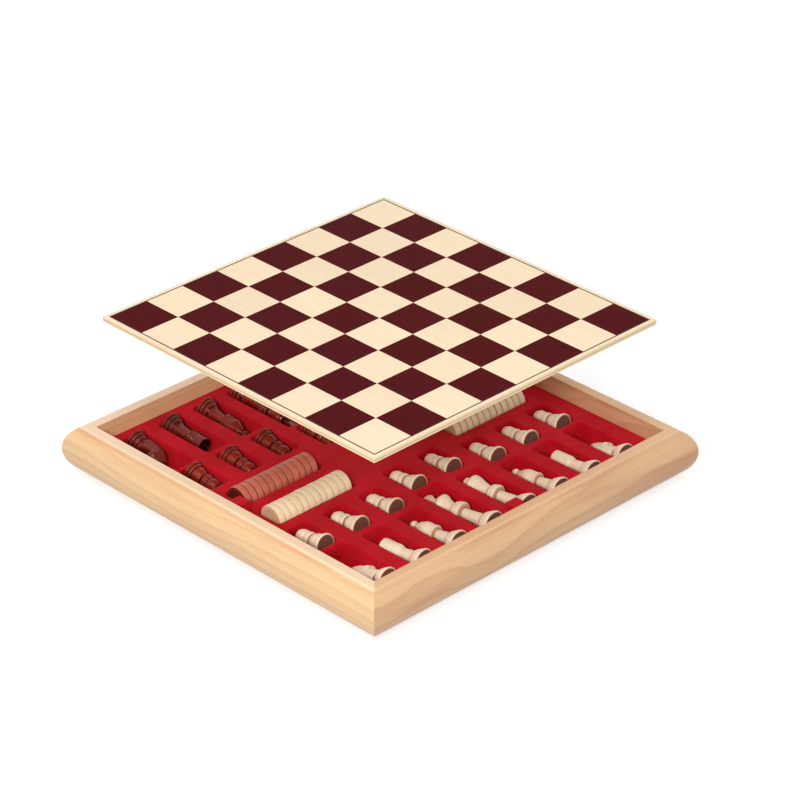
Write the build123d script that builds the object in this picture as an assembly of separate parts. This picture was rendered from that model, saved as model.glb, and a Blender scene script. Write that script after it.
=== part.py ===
"""Games compendium box: a mitred pine case with a flocked tray, chessmen, discs and a loose board.

The case is four rails with a rounded outer side and a flat top strip, around a thin panel.
A thermoformed tray fills it. Each of its pockets holds one chessman, lying on its side with
the head lower than the base, or one row of discs on edge. The chequered board is the lid. It
drops between the rails on to four small rests, flush with the rails, and is modelled
lifted straight up, as it is when the men are taken out.

Frame: X and Y run along the rails, Z is up, and the origin is on the table, under the middle.
The light men lie on the -Y side and the dark men on the +Y side.
"""

from build123d import *
import os
from dataclasses import dataclass
from math import atan2, cos, degrees, radians, sin

# ---- Board: the lid of the case -------------------------------------------------------------
SQUARE = 40.0  # one square of the chequer pattern
SQUARES = 8  # squares along each side
LINE_WIDTH = 1.3  # dark stringing around the pattern
BORDER_WIDTH = 3.6  # pale veneer outside the stringing
CORE_THICKNESS = 3.9  # board without its veneer
VENEER = 0.6  # veneer thickness
BOARD_LIFT = 107.0  # height of the lifted board over its seat

# ---- Case -----------------------------------------------------------------------------------
BOARD_CLEARANCE = 7.5  # gap between the board and each rail, wide enough for a fingertip
RAIL_THICKNESS = 21.5  # rail, from its inner face to the widest point of its outer side
RAIL_HEIGHT = 44.0
TOP_STRIP = 8.5  # flat top of the rail beside the opening, and its flat foot
STRIP_ROUND = 0.8  # worn corner between the strip and the rounded side
INNER_ROUND = 0.5  # worn top corner of the inner face
PANEL_THICKNESS = 3.0  # plywood panel under the tray
GROOVE_DEPTH = 5.0  # groove in the rails that the panel sits in
GROOVE_PLAY = 0.2  # groove height left over the panel
PANEL_PLAY = 0.5  # gap between the panel's edge and the bottom of the groove
REST_LENGTH = 13.0  # small block in the middle of each rail, between two men or two rows
REST_DEPTH = 2 * BOARD_CLEARANCE + 1.5  # the board stays on it, wherever it is pushed
REST_HEIGHT = 9.0
REST_ROUND = 1.0

# ---- Tray -----------------------------------------------------------------------------------
TRAY_DROP = 17.0  # from the top of the rails down to the face of the tray
SHEET = 1.0  # thickness of the formed sheet
TRAY_CLEARANCE = 0.4  # between the tray's edge and the rails
TRAY_CORNER = 2.0
DRAFT = 5.0  # lean of the pocket walls, degrees
POCKET_CORNER = 4.0
POCKET_FLOOR_ROUND = 2.0
POCKET_LIP_ROUND = 1.2
SINK = 2.8  # how far the middle of a man's base lies below the face of the tray
SEAT_GAP = 0.3  # between a piece and the floor of its pocket
SIDE_CLEARANCE = 1.2  # between a base and the side of its pocket, at the face
BASE_CLEARANCE = 4.0  # between a base and the end of its pocket, at the face
HEAD_CLEARANCE = 3.4  # the same at the head

# ---- Places of the pieces -------------------------------------------------------------------
CENTRE_LANE = 20.5  # first lane of men, from the middle
LANE_MARGIN = 30.4  # from the rail to the middle of the outermost lane
BACK_MARGIN = 14.9  # from the rail to the bases of the back rank
CENTRE_WEB = 3.1  # between the king's pocket and the pawn's in front of it
WING_WEB = 4.0  # between the deepest of the outer pockets and the pawns'
KNIGHT_FINGER_ROOM = 23.0  # free length of the pocket beyond the head
ROOK_FINGER_ROOM = 19.0
BISHOP_FINGER_ROOM = 7.0

# ---- Discs ----------------------------------------------------------------------------------
DISC_DIAMETER = 25.0
DISC_THICKNESS = 6.8
DISC_EDGE = 0.9  # turned radius around both faces
DISC_RING_DIAMETER = 17.0  # shallow turned recess in both faces
DISC_RING_DEPTH = 0.7
DISC_COUNT = 12  # discs in one row
DISC_GAP = 0.1  # between neighbouring discs
ROW_Y = 21.0  # middle of a row, from the middle of the case
ROW_MARGIN = 25.4  # from the rail to the outer end of a row
ROW_END_CLEARANCE = 2.5  # between the row and the outer end of its pocket
ROW_PLAY = 6.0  # room left in a pocket at the inner end of its row

# ---- Chessmen -------------------------------------------------------------------------------
KING_HEIGHT, KING_BASE = 77.0, 25.0
QUEEN_HEIGHT, QUEEN_BASE = 71.0, 24.5
BISHOP_HEIGHT, BISHOP_BASE = 56.5, 22.5
KNIGHT_HEIGHT, KNIGHT_BASE = 43.0, 22.0
ROOK_HEIGHT, ROOK_BASE = 44.5, 22.0
PAWN_HEIGHT, PAWN_BASE = 33.5, 20.5
CROSS_THICKNESS = 3.2  # the king's cross
CROSS_SPAN = 9.6
CROSS_ARM = 3.6
MITRE_SLIT = 1.1  # saw cut in the bishop's mitre
TURRET_BORE = 9.6  # hollow in the rook's top
TURRET_DEPTH = 2.6
CORONET_NOTCHES = 8
CORONET_NOTCH = 3.0
HORSE_THICKNESS = 11.0
EAR_SPAN = 6.4  # over both ears
EAR_GAP = 1.8  # between the ears
MANE_CUTS = 5
MANE_CUT_DEPTH = 0.9
EYE_DIAMETER = 1.8
FELT_INSET = 0.9  # rim of wood around the felt
FELT_THICKNESS = 0.6
FELT_RECESS = 0.8

# ---- Worked out from the sizes above --------------------------------------------------------
PATTERN = SQUARE * SQUARES
BOARD_SIDE = PATTERN + 2 * (LINE_WIDTH + BORDER_WIDTH)
BOARD_THICKNESS = CORE_THICKNESS + VENEER
OPENING = BOARD_SIDE + 2 * BOARD_CLEARANCE
CASE_SIDE = OPENING + 2 * RAIL_THICKNESS
TRAY_Z = RAIL_HEIGHT - TRAY_DROP
BOARD_SEAT_Z = RAIL_HEIGHT - BOARD_THICKNESS
UPRIGHT = (Align.CENTER, Align.CENTER, Align.MIN)
BOARD_TOP_Z = RAIL_HEIGHT + BOARD_LIFT
LANE_COUNT = 4  # lanes on each side of the middle
LANE_PITCH = (OPENING / 2 - LANE_MARGIN - CENTRE_LANE) / (LANE_COUNT - 1)
LANES = [CENTRE_LANE + LANE_PITCH * n for n in range(LANE_COUNT)]
BACK_BASE_Y = OPENING / 2 - BACK_MARGIN
ROW_OUTER_X = OPENING / 2 - ROW_MARGIN
TRAY_EDGE = OPENING / 2 - TRAY_CLEARANCE
EDGE_MARGIN = 0.1  # how near an edge has to be to a place to be taken for the one there


# ==== Case ===================================================================================
def rail_profile():
    """Section of a rail: X is outward from the inner face, Y is up."""
    bulge = RAIL_THICKNESS - TOP_STRIP
    outline = Polyline(
        (TOP_STRIP, 0),
        (0, 0),
        (0, RAIL_HEIGHT),
        (TOP_STRIP, RAIL_HEIGHT),
    )
    side = ThreePointArc(
        (TOP_STRIP, RAIL_HEIGHT),
        (TOP_STRIP + bulge, RAIL_HEIGHT / 2),
        (TOP_STRIP, 0),
    )
    section = make_face(outline + side)
    strip_corners = section.vertices().filter_by(lambda v: v.X > TOP_STRIP / 2)
    section = fillet(strip_corners, STRIP_ROUND)
    inner_corner = section.vertices().sort_by(Axis.X)[:2].sort_by(Axis.Y)[-1]
    section = fillet(inner_corner, INNER_ROUND)
    groove_height = PANEL_THICKNESS + GROOVE_PLAY
    groove = Rectangle(GROOVE_DEPTH, groove_height, align=(Align.MIN, Align.MIN))
    return section - Pos(0, PANEL_Z) * groove


def rail():
    """One rail on the -Y side, with a mitre at both ends."""
    section = Plane(origin=(0, -OPENING / 2, 0), x_dir=(0, -1, 0), z_dir=(-1, 0, 0))
    bar = extrude(section * rail_profile(), CASE_SIDE / 2, both=True)
    for side in (-1, 1):
        corner = (side * OPENING / 2, -OPENING / 2, 0)
        mitre = Plane(origin=corner, z_dir=(-side, -1, 0))
        bar = split(bar, bisect_by=mitre, keep=Keep.TOP)
    return bar


def rest():
    """A block against the middle of the -Y rail that carries one edge of the board."""
    block = Box(REST_LENGTH, REST_DEPTH, REST_HEIGHT, align=(Align.CENTER, Align.MIN, Align.MAX))
    free_edges = block.edges().filter_by(Axis.Z).group_by(Axis.Y)[-1]
    block = fillet(free_edges, REST_ROUND)
    return Pos(0, -OPENING / 2, BOARD_SEAT_Z) * block


def around(shape, quarter):
    """The same piece on the next side of the case."""
    return Rot(0, 0, 90 * quarter) * shape


def panel():
    """Plywood panel, held in the rails' grooves, that the deepest pockets stand on."""
    side = OPENING + 2 * (GROOVE_DEPTH - PANEL_PLAY)
    plate = Box(side, side, PANEL_THICKNESS, align=UPRIGHT)
    return Pos(0, 0, PANEL_Z) * plate


# ==== Chessmen ===============================================================================
def dome(edge, top):
    """The arc of a ball, from its edge up to its top on the axis."""
    centre = (top[1] ** 2 - edge[1] ** 2 - edge[0] ** 2) / (2 * (top[1] - edge[1]))
    half = atan2(edge[0], edge[1] - centre) / 2
    ball = top[1] - centre
    return ThreePointArc(edge, (ball * sin(half), centre + ball * cos(half)), top)


def turned(points, base, height):
    """A turned solid. Each point is (radius, height, bulge), as shares of the base's radius and
    of the man's height. The bulge is how far the stretch up to the point bows out, as a share
    of the radius: 0 is straight, more is a bead and less is a cove. DOME is part of a ball
    that is centred on the axis.
    """
    radius = base / 2
    at = (0, 0)
    stretches = []
    for across, up, bulge in points:
        end = (across * radius, up * height)
        if bulge == DOME:
            stretches.append(dome(at, end))
        elif bulge:
            run = (end[0] - at[0], end[1] - at[1])
            length = (run[0] ** 2 + run[1] ** 2) ** 0.5
            out = (run[1] / length * bulge * radius, -run[0] / length * bulge * radius)
            middle = ((at[0] + end[0]) / 2 + out[0], (at[1] + end[1]) / 2 + out[1])
            stretches.append(ThreePointArc(at, middle, end))
        else:
            stretches.append(Line(at, end))
        at = end
    stretches.append(Line(at, (0, 0)))
    return revolve(make_face(Plane.XZ * (Curve() + stretches)), Axis.Z)


DOME = "dome"
KING = [
    (1.00, 0.000, 0),
    (1.00, 0.030, 0),
    (0.90, 0.062, 0.030),
    (0.84, 0.066, 0),
    (0.76, 0.100, 0.050),
    (0.46, 0.270, -0.130),
    (0.42, 0.425, 0),
    (0.62, 0.437, 0),
    (0.64, 0.478, 0.080),
    (0.50, 0.490, 0),
    (0.46, 0.525, 0.040),
    (0.40, 0.555, -0.010),
    (0.68, 0.725, -0.050),
    (0.64, 0.755, 0.030),
    (0.26, 0.815, 0.080),
    (0.00, 0.815, 0),
]
QUEEN = [
    (1.00, 0.000, 0),
    (1.00, 0.032, 0),
    (0.90, 0.066, 0.030),
    (0.84, 0.070, 0),
    (0.76, 0.108, 0.050),
    (0.45, 0.290, -0.130),
    (0.41, 0.455, 0),
    (0.61, 0.468, 0),
    (0.63, 0.512, 0.080),
    (0.49, 0.524, 0),
    (0.45, 0.562, 0.040),
    (0.39, 0.590, -0.010),
    (0.70, 0.835, -0.060),
    (0.66, 0.872, 0.030),
    (0.30, 0.925, 0.060),
    (0.20, 0.940, -0.020),
    (0.00, 1.000, DOME),
]
BISHOP = [
    (1.00, 0.000, 0),
    (1.00, 0.038, 0),
    (0.90, 0.078, 0.030),
    (0.84, 0.083, 0),
    (0.75, 0.128, 0.050),
    (0.44, 0.265, -0.100),
    (0.42, 0.345, 0),
    (0.62, 0.360, 0),
    (0.64, 0.405, 0.080),
    (0.48, 0.420, 0),
    (0.44, 0.455, 0.040),
    (0.66, 0.600, 0.060),
    (0.26, 0.870, 0.100),
    (0.20, 0.898, -0.020),
    (0.00, 1.000, DOME),
]
ROOK = [
    (1.00, 0.000, 0),
    (1.00, 0.045, 0),
    (0.92, 0.090, 0.030),
    (0.86, 0.096, 0),
    (0.79, 0.160, 0.050),
    (0.73, 0.166, 0),
    (0.50, 0.390, -0.080),
    (0.47, 0.520, 0),
    (0.66, 0.545, 0),
    (0.68, 0.600, 0.040),
    (0.64, 0.612, 0),
    (0.64, 0.660, 0),
    (0.70, 0.680, 0),
    (0.71, 0.760, 0),
    (0.68, 0.772, 0),
    (0.72, 0.790, 0),
    (0.74, 1.000, 0),
    (0.00, 1.000, 0),
]
PAWN = [
    (1.00, 0.000, 0),
    (1.00, 0.040, 0),
    (0.93, 0.085, 0.020),
    (0.90, 0.090, 0),
    (0.64, 0.390, 0.030),
    (0.50, 0.452, 0.030),
    (0.46, 0.475, 0),
    (0.68, 0.498, 0),
    (0.70, 0.600, 0.040),
    (0.65, 0.690, 0.010),
    (0.62, 0.700, 0),
    (0.70, 0.715, 0),
    (0.74, 0.775, 0.010),
    (0.00, 1.000, DOME),
]
KNIGHT_FOOT = [
    (1.00, 0.000, 0),
    (1.00, 0.050, 0),
    (0.90, 0.102, 0.030),
    (0.84, 0.109, 0),
    (0.78, 0.170, 0.050),
    (0.66, 0.270, -0.040),
    (0.00, 0.270, 0),
]


def with_felt(man, base):
    """The man with a round felt let into the underside of its base: two solids."""
    radius = base / 2 - FELT_INSET
    recess = Cylinder(radius, FELT_RECESS, align=UPRIGHT)
    felt = Cylinder(radius, FELT_THICKNESS, align=UPRIGHT)
    lifted = Pos(0, 0, FELT_RECESS - FELT_THICKNESS) * felt
    return [(man - recess).solid(), lifted.solid()]


def king():
    body = turned(KING, KING_BASE, KING_HEIGHT)
    foot = 0.79 * KING_HEIGHT
    upright = Pos(0, 0, foot) * Box(
        CROSS_ARM,
        CROSS_THICKNESS,
        KING_HEIGHT - foot,
        align=UPRIGHT,
    )
    arms_z = KING_HEIGHT - 1.35 * CROSS_ARM
    arms = Pos(0, 0, arms_z) * Box(CROSS_SPAN, CROSS_THICKNESS, CROSS_ARM)
    cross = fillet((upright + arms).edges().filter_by(Axis.Y), CROSS_ARM / 8)
    return body + cross


def queen():
    body = turned(QUEEN, QUEEN_BASE, QUEEN_HEIGHT)
    brim_z = 0.895 * QUEEN_HEIGHT
    brim = 0.66 * QUEEN_BASE / 2
    notch = Rot(0, 90, 0) * Cylinder(CORONET_NOTCH / 2, brim)
    for n in range(CORONET_NOTCHES):
        turn = Rot(0, 0, 360 * n / CORONET_NOTCHES)
        body -= turn * Pos(brim, 0, brim_z) * notch
    return body


def bishop():
    body = turned(BISHOP, BISHOP_BASE, BISHOP_HEIGHT)
    slit = Box(BISHOP_BASE, BISHOP_BASE, MITRE_SLIT, align=(Align.MIN, Align.CENTER, Align.CENTER))
    return body - Pos(0, 0, 0.66 * BISHOP_HEIGHT) * Rot(0, -35, 0) * slit


def rook():
    body = turned(ROOK, ROOK_BASE, ROOK_HEIGHT)
    top = Pos(0, 0, ROOK_HEIGHT)
    down = (Align.CENTER, Align.CENTER, Align.MAX)
    return body - top * Cylinder(TURRET_BORE / 2, TURRET_DEPTH, align=down)


def horse_outline():
    """Side view of the horse's head: the nose points to +X, and the ears are at the top."""
    reach = KNIGHT_BASE / 2
    height = KNIGHT_HEIGHT
    foot = 0.24 * height
    neck = (-0.72 * reach, foot)
    poll = (-0.34 * reach, 0.90 * height)
    ear = (-0.10 * reach, height)
    brow = (0.16 * reach, 0.86 * height)
    nose = (0.84 * reach, 0.64 * height)
    lip = (0.70 * reach, 0.545 * height)
    jaw = (0.26 * reach, 0.60 * height)
    throat = (0.10 * reach, 0.50 * height)
    chest = (0.70 * reach, foot)
    crest = ThreePointArc(neck, (-0.86 * reach, 0.62 * height), poll)
    face = ThreePointArc(brow, (0.46 * reach, 0.74 * height), nose)
    muzzle = ThreePointArc(nose, (0.88 * reach, 0.58 * height), lip)
    breast = ThreePointArc(throat, (0.56 * reach, 0.40 * height), chest)
    lines = Line(poll, ear) + Line(ear, brow) + Line(lip, jaw) + Line(jaw, throat)
    return make_face(crest + lines + face + muzzle + breast + Line(chest, neck))


def horse_blank():
    """The block that the head is sawn from: round behind, and narrower at the ears."""
    blank = Cylinder(0.93 * KNIGHT_BASE / 2, KNIGHT_HEIGHT, align=UPRIGHT)
    cheek = HORSE_THICKNESS / 2
    front = Polyline(
        (-cheek, 0),
        (cheek, 0),
        (cheek, 0.66 * KNIGHT_HEIGHT),
        (EAR_SPAN / 2, KNIGHT_HEIGHT),
        (-EAR_SPAN / 2, KNIGHT_HEIGHT),
        (-cheek, 0.66 * KNIGHT_HEIGHT),
        close=True,
    )
    return blank & extrude(Plane.YZ * make_face(front), KNIGHT_BASE / 2, both=True)


def knight():
    """A turned foot with a sawn and carved horse's head on it."""
    foot = turned(KNIGHT_FOOT, KNIGHT_BASE, KNIGHT_HEIGHT)
    reach = KNIGHT_BASE / 2
    head = horse_blank() & extrude(Plane.XZ * horse_outline(), reach, both=True)
    ears = Box(reach, EAR_GAP, 2 * EAR_GAP)
    head -= Pos(-0.1 * reach, 0, KNIGHT_HEIGHT) * ears
    for side in (-1, 1):
        cheek = side * HORSE_THICKNESS / 2
        for n in range(MANE_CUTS):
            up = (0.42 + 0.105 * n) * KNIGHT_HEIGHT
            root = (-0.62 + 0.02 * n) * reach
            cut = Rot(0, -38, 0) * Box(0.9 * reach, 2 * MANE_CUT_DEPTH, MANE_CUT_DEPTH)
            head -= Pos(root, cheek, up) * cut
        eye = Rot(90, 0, 0) * Cylinder(EYE_DIAMETER / 2, 2 * MANE_CUT_DEPTH)
        head -= Pos(0.26 * reach, cheek, 0.755 * KNIGHT_HEIGHT) * eye
    mouth = Box(0.42 * reach, HORSE_THICKNESS, MANE_CUT_DEPTH)
    head -= Pos(0.72 * reach, 0, 0.595 * KNIGHT_HEIGHT) * Rot(0, -14, 0) * mouth
    return foot + head


def pawn():
    return turned(PAWN, PAWN_BASE, PAWN_HEIGHT)


@dataclass
class Kind:
    """A sort of chessman: its maker and size, and the two places where it touches the floor."""

    make: object
    height: float
    base: float
    rim_height: float
    head_radius: float
    head_height: float

    @property
    def tilt(self):
        """How far the head lies below the base, once both touch the floor, degrees."""
        drop = self.base / 2 - self.head_radius
        return degrees(atan2(drop, self.head_height - self.rim_height))

    @property
    def depth(self):
        """Depth of the pocket below the face of the tray."""
        lean = radians(self.tilt)
        rim = self.base / 2 * cos(lean) + self.rim_height * sin(lean)
        return rim + SINK + SEAT_GAP


def kind(make, profile, height, base, across, up):
    """The rim's height comes from the profile, and the head's place is given as shares."""
    return Kind(make, height, base, profile[1][1] * height, across * base / 2, up * height)


EAR_SHARE = EAR_SPAN / KNIGHT_BASE
KINDS = {
    "king": kind(king, KING, KING_HEIGHT, KING_BASE, 0.68, 0.725),
    "queen": kind(queen, QUEEN, QUEEN_HEIGHT, QUEEN_BASE, 0.70, 0.835),
    "bishop": kind(bishop, BISHOP, BISHOP_HEIGHT, BISHOP_BASE, 0.69, 0.640),
    "knight": kind(knight, KNIGHT_FOOT, KNIGHT_HEIGHT, KNIGHT_BASE, EAR_SHARE, 1.0),
    "rook": kind(rook, ROOK, ROOK_HEIGHT, ROOK_BASE, 0.74, 0.990),
    "pawn": kind(pawn, PAWN, PAWN_HEIGHT, PAWN_BASE, 0.74, 0.775),
}
BACK_RANK = ["knight", "rook", "bishop", "king", "queen", "bishop", "rook", "knight"]
WING_X = LANES[0] + LANE_PITCH / 2  # where the cells of the disc rows begin
FINGER_ROOMS = {
    "knight": KNIGHT_FINGER_ROOM,
    "rook": ROOK_FINGER_ROOM,
    "bishop": BISHOP_FINGER_ROOM,
}


def inner_end(what):
    """Where the pocket of a man of the back rank ends, toward the middle of the case."""
    return BACK_BASE_Y - KINDS[what].height - FINGER_ROOMS.get(what, HEAD_CLEARANCE)


WING_PAWN_Y = min(inner_end(what) for what in FINGER_ROOMS) - WING_WEB - BASE_CLEARANCE
CENTRE_PAWN_Y = min(inner_end("king"), inner_end("queen")) - CENTRE_WEB - BASE_CLEARANCE
WING_PAWN_INNER = WING_PAWN_Y - PAWN_HEIGHT - HEAD_CLEARANCE
WING_Y = (ROW_Y + DISC_DIAMETER / 2 + SIDE_CLEARANCE + WING_PAWN_INNER) / 2
POCKET_DEPTH = max([DISC_DIAMETER / 2 + SINK + SEAT_GAP] + [k.depth for k in KINDS.values()])
PANEL_Z = TRAY_Z - POCKET_DEPTH - SHEET - PANEL_THICKNESS


@dataclass
class Place:
    """Where one man lies: its lane, and the ends of its pocket, from the middle outward."""

    name: str
    kind: Kind
    x: float
    base_y: float
    inner_y: float

    @property
    def outer_y(self):
        return self.base_y + BASE_CLEARANCE


def places():
    """The sixteen men of one side, with Y counted from the middle of the case."""
    found = []
    for n, what in enumerate(BACK_RANK):
        x = LANES[abs(2 * n - 7) // 2] * (1 if n > 3 else -1)
        man = KINDS[what]
        side = "" if what in ("king", "queen") else "_left" if n < 4 else "_right"
        found.append(Place(what + side, man, x, BACK_BASE_Y, inner_end(what)))
        base_y = CENTRE_PAWN_Y if n in (3, 4) else WING_PAWN_Y
        inner = base_y - PAWN_HEIGHT - HEAD_CLEARANCE
        found.append(Place(f"pawn_{n + 1}", KINDS["pawn"], x, base_y, inner))
    return found


def laid(place, side):
    """Where an upright man goes to lie in its pocket, on one side of the case."""
    lean = Rot(-90 - place.kind.tilt, 0, 0)
    across = place.x if side < 0 else -place.x
    there = Pos(across, -place.base_y, TRAY_Z - SINK) * lean
    return there if side < 0 else Rot(0, 0, 180) * there


# ==== Tray ===================================================================================
def tub(width, length, depth, grow=0.0):
    """A drafted pocket that opens at Z = 0, or its outer skin where it grows by the sheet."""
    top = RectangleRounded(width + 2 * grow, length + 2 * grow, POCKET_CORNER + grow)
    down = Plane(origin=(0, 0, 0), x_dir=(1, 0, 0), z_dir=(0, 0, -1))
    body = extrude(down * top, amount=depth + grow, taper=DRAFT)
    floor = body.faces().sort_by(Axis.Z)[0]
    return fillet(floor.edges(), POCKET_FLOOR_ROUND + grow)


def row_pocket():
    """Middle X, length and width of a pocket for a row of discs, on the +X side."""
    row = DISC_COUNT * DISC_THICKNESS + (DISC_COUNT - 1) * DISC_GAP
    outer = ROW_OUTER_X + ROW_END_CLEARANCE
    inner = ROW_OUTER_X - row - ROW_PLAY
    return (outer + inner) / 2, outer - inner, DISC_DIAMETER + 2 * SIDE_CLEARANCE


def row_cell(end):
    """The cell of the light side's row of discs on one side, as cell() wants it."""
    x, length, width = row_pocket()
    pocket = (end * x, -ROW_Y, length, width, DISC_DIAMETER / 2 + SINK + SEAT_GAP)
    return pocket, sorted((end * WING_X, end * TRAY_EDGE)), (-WING_Y, 0)


def man_cell(place, neighbour):
    """The cell of one light man. Its neighbour is the other man in the same lane."""
    width = place.kind.base + 2 * SIDE_CLEARANCE
    length = place.outer_y - place.inner_y
    middle = (place.outer_y + place.inner_y) / 2
    pocket = (place.x, -middle, width, length, place.kind.depth)
    lane = LANES.index(abs(place.x))
    sides = [0] + [low + LANE_PITCH / 2 for low in LANES[:-1]] + [TRAY_EDGE]
    end = 1 if place.x > 0 else -1
    across = sorted((end * sides[lane], end * sides[lane + 1]))
    if neighbour.inner_y < place.inner_y:
        return pocket, across, (-TRAY_EDGE, -(neighbour.outer_y + place.inner_y) / 2)
    inner = 0 if lane == 0 else WING_Y
    return pocket, across, (-(place.outer_y + neighbour.inner_y) / 2, -inner)


def cell(pocket, across, along):
    """The part of the formed sheet around one pocket, with its face at Z = 0."""
    x, y, width, length, depth = pocket
    here = Pos((across[0] + across[1]) / 2, (along[0] + along[1]) / 2)
    size = (across[1] - across[0], along[1] - along[0])
    plate = here * Box(*size, SHEET, align=(Align.CENTER, Align.CENTER, Align.MAX))
    rim = TRAY_EDGE - EDGE_MARGIN
    corner = plate.edges().filter_by(Axis.Z)
    corner = corner.filter_by(lambda e: min(abs(e.center().X), abs(e.center().Y)) > rim)
    if corner:
        plate = fillet(corner, TRAY_CORNER)
    body = plate + Pos(x, y) * tub(width, length, depth, SHEET)
    body -= Pos(x, y) * tub(width, length, depth)
    reach = (width / 2 + EDGE_MARGIN, length / 2 + EDGE_MARGIN)
    lips = body.edges().filter_by_position(Axis.Z, -EDGE_MARGIN, EDGE_MARGIN)
    lips = lips.filter_by(lambda e: abs(e.center().X - x) < reach[0])
    lips = lips.filter_by(lambda e: abs(e.center().Y - y) < reach[1])
    return fillet(lips, POCKET_LIP_ROUND).solid()


def tray():
    """One formed sheet: a flat face with a tub for each man and each row of discs.

    It is divided between the pockets, so that each of its solids is a simple tub that can be
    followed closely. The solids meet face to face.
    """
    men = places()
    cells = [row_cell(end) for end in (-1, 1)]
    for one, other in zip(men[::2], men[1::2]):
        cells += [man_cell(one, other), man_cell(other, one)]
    light = [Pos(0, 0, TRAY_Z) * cell(*each) for each in cells]
    return light + [mirror(each, about=Plane.XZ) for each in light]


# ==== Discs ==================================================================================
def disc():
    """A turned disc on edge, with its axis along X and one face at X = 0."""
    body = Cylinder(DISC_DIAMETER / 2, DISC_THICKNESS, align=UPRIGHT)
    body = fillet(body.edges(), DISC_EDGE)
    ring = Cylinder(DISC_RING_DIAMETER / 2, DISC_RING_DEPTH)
    for face_z in (0, DISC_THICKNESS):
        body -= Pos(0, 0, face_z) * ring
    return Rot(0, 90, 0) * body


def disc_row(end, side):
    """One row of discs, pushed to the outer end of its pocket."""
    step = DISC_THICKNESS + DISC_GAP
    one = disc()
    inward = [ROW_OUTER_X - DISC_THICKNESS - step * n for n in range(DISC_COUNT)]
    starts = inward if end > 0 else [-x - DISC_THICKNESS for x in inward]
    return [Pos(x, side * ROW_Y, TRAY_Z - SINK) * one for x in starts]


# ==== Board ==================================================================================
def at_top(sketch, height=VENEER):
    """A flat piece of veneer on the lifted board."""
    return Pos(0, 0, BOARD_TOP_Z - VENEER) * extrude(sketch, height)


def board_core():
    plate = Box(BOARD_SIDE, BOARD_SIDE, CORE_THICKNESS, align=UPRIGHT)
    return Pos(0, 0, BOARD_SEAT_Z + BOARD_LIFT) * plate


def band(inner, width):
    """A square band of veneer around the pattern."""
    return at_top(Rectangle(inner + 2 * width, inner + 2 * width) - Rectangle(inner, inner))


def squares(dark):
    """The squares of one colour. The corner at -X +Y is dark, as is the one across from it."""
    found = []
    for column in range(SQUARES):
        for row in range(SQUARES):
            if ((column + row) % 2 == 1) == dark:
                x = (column + 0.5) * SQUARE - PATTERN / 2
                y = (row + 0.5) * SQUARE - PATTERN / 2
                found.append(at_top(Pos(x, y) * Rectangle(SQUARE, SQUARE)))
    return found


# ==== Files ==================================================================================
def write(name, pieces):
    pieces = pieces if isinstance(pieces, list) else [pieces]
    solids = [solid for piece in pieces for solid in piece.solids()]
    whole = solids[0] if len(solids) == 1 else Compound(solids)
    whole.label = name
    export_step(whole, f"parts/{name}.step")


def main():
    os.makedirs("parts", exist_ok=True)
    for quarter, side in enumerate(("front", "right", "back", "left")):
        write(f"rail_{side}", around(rail(), quarter))
        write(f"rest_{side}", around(rest(), quarter))
    write("panel", panel())
    write("tray", tray())
    for colour, side in (("light", -1), ("dark", 1)):
        made = {what: with_felt(one.make(), one.base) for what, one in KINDS.items()}
        for place in places():
            what = place.name.split("_")[0]
            location = laid(place, side)
            write(f"{colour}_{place.name}", [location * solid for solid in made[what]])
        for end, where in ((-1, "left"), (1, "right")):
            write(f"{colour}_discs_{where}", disc_row(end, side))
    write("board_core", board_core())
    write("board_line", band(PATTERN, LINE_WIDTH))
    write("board_border", band(PATTERN + 2 * LINE_WIDTH, BORDER_WIDTH))
    write("board_dark_squares", squares(True))
    write("board_light_squares", squares(False))


main()
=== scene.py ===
"""Looks of the games compendium box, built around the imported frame.

The case, its tray and the board keep their CAD shapes and get their woods, veneers and flock
here. The chessmen and the discs are turned again as finer meshes that stand for the CAD ones.
"""

import random
from collections import namedtuple
from math import atan2, cos, hypot, pi, radians, sin

import bmesh
import bpy
from mathutils import Matrix, Vector

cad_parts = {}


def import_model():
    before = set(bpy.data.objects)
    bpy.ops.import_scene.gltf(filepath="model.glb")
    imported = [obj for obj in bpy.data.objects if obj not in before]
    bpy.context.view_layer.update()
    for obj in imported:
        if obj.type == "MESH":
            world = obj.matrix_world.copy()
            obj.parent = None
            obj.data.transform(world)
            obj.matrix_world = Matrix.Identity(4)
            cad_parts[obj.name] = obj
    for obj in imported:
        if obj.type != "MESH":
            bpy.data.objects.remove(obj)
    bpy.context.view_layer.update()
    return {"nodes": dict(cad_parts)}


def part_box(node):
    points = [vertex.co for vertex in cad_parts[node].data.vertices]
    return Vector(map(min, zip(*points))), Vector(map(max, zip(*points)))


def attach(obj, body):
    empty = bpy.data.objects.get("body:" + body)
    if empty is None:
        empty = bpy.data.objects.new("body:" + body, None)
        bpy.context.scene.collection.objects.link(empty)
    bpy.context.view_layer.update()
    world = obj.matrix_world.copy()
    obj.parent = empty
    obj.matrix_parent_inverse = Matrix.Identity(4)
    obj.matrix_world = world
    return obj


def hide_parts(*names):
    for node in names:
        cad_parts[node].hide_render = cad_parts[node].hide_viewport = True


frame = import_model()
NODES = frame["nodes"]
MM = 0.001

# ---- Sizes of the CAD model that the looks need, in millimetres -----------------------------
RAIL_TOP = 44.0
BOARD_UNDERSIDE = 146.5
SQUARE = 40.0

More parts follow.
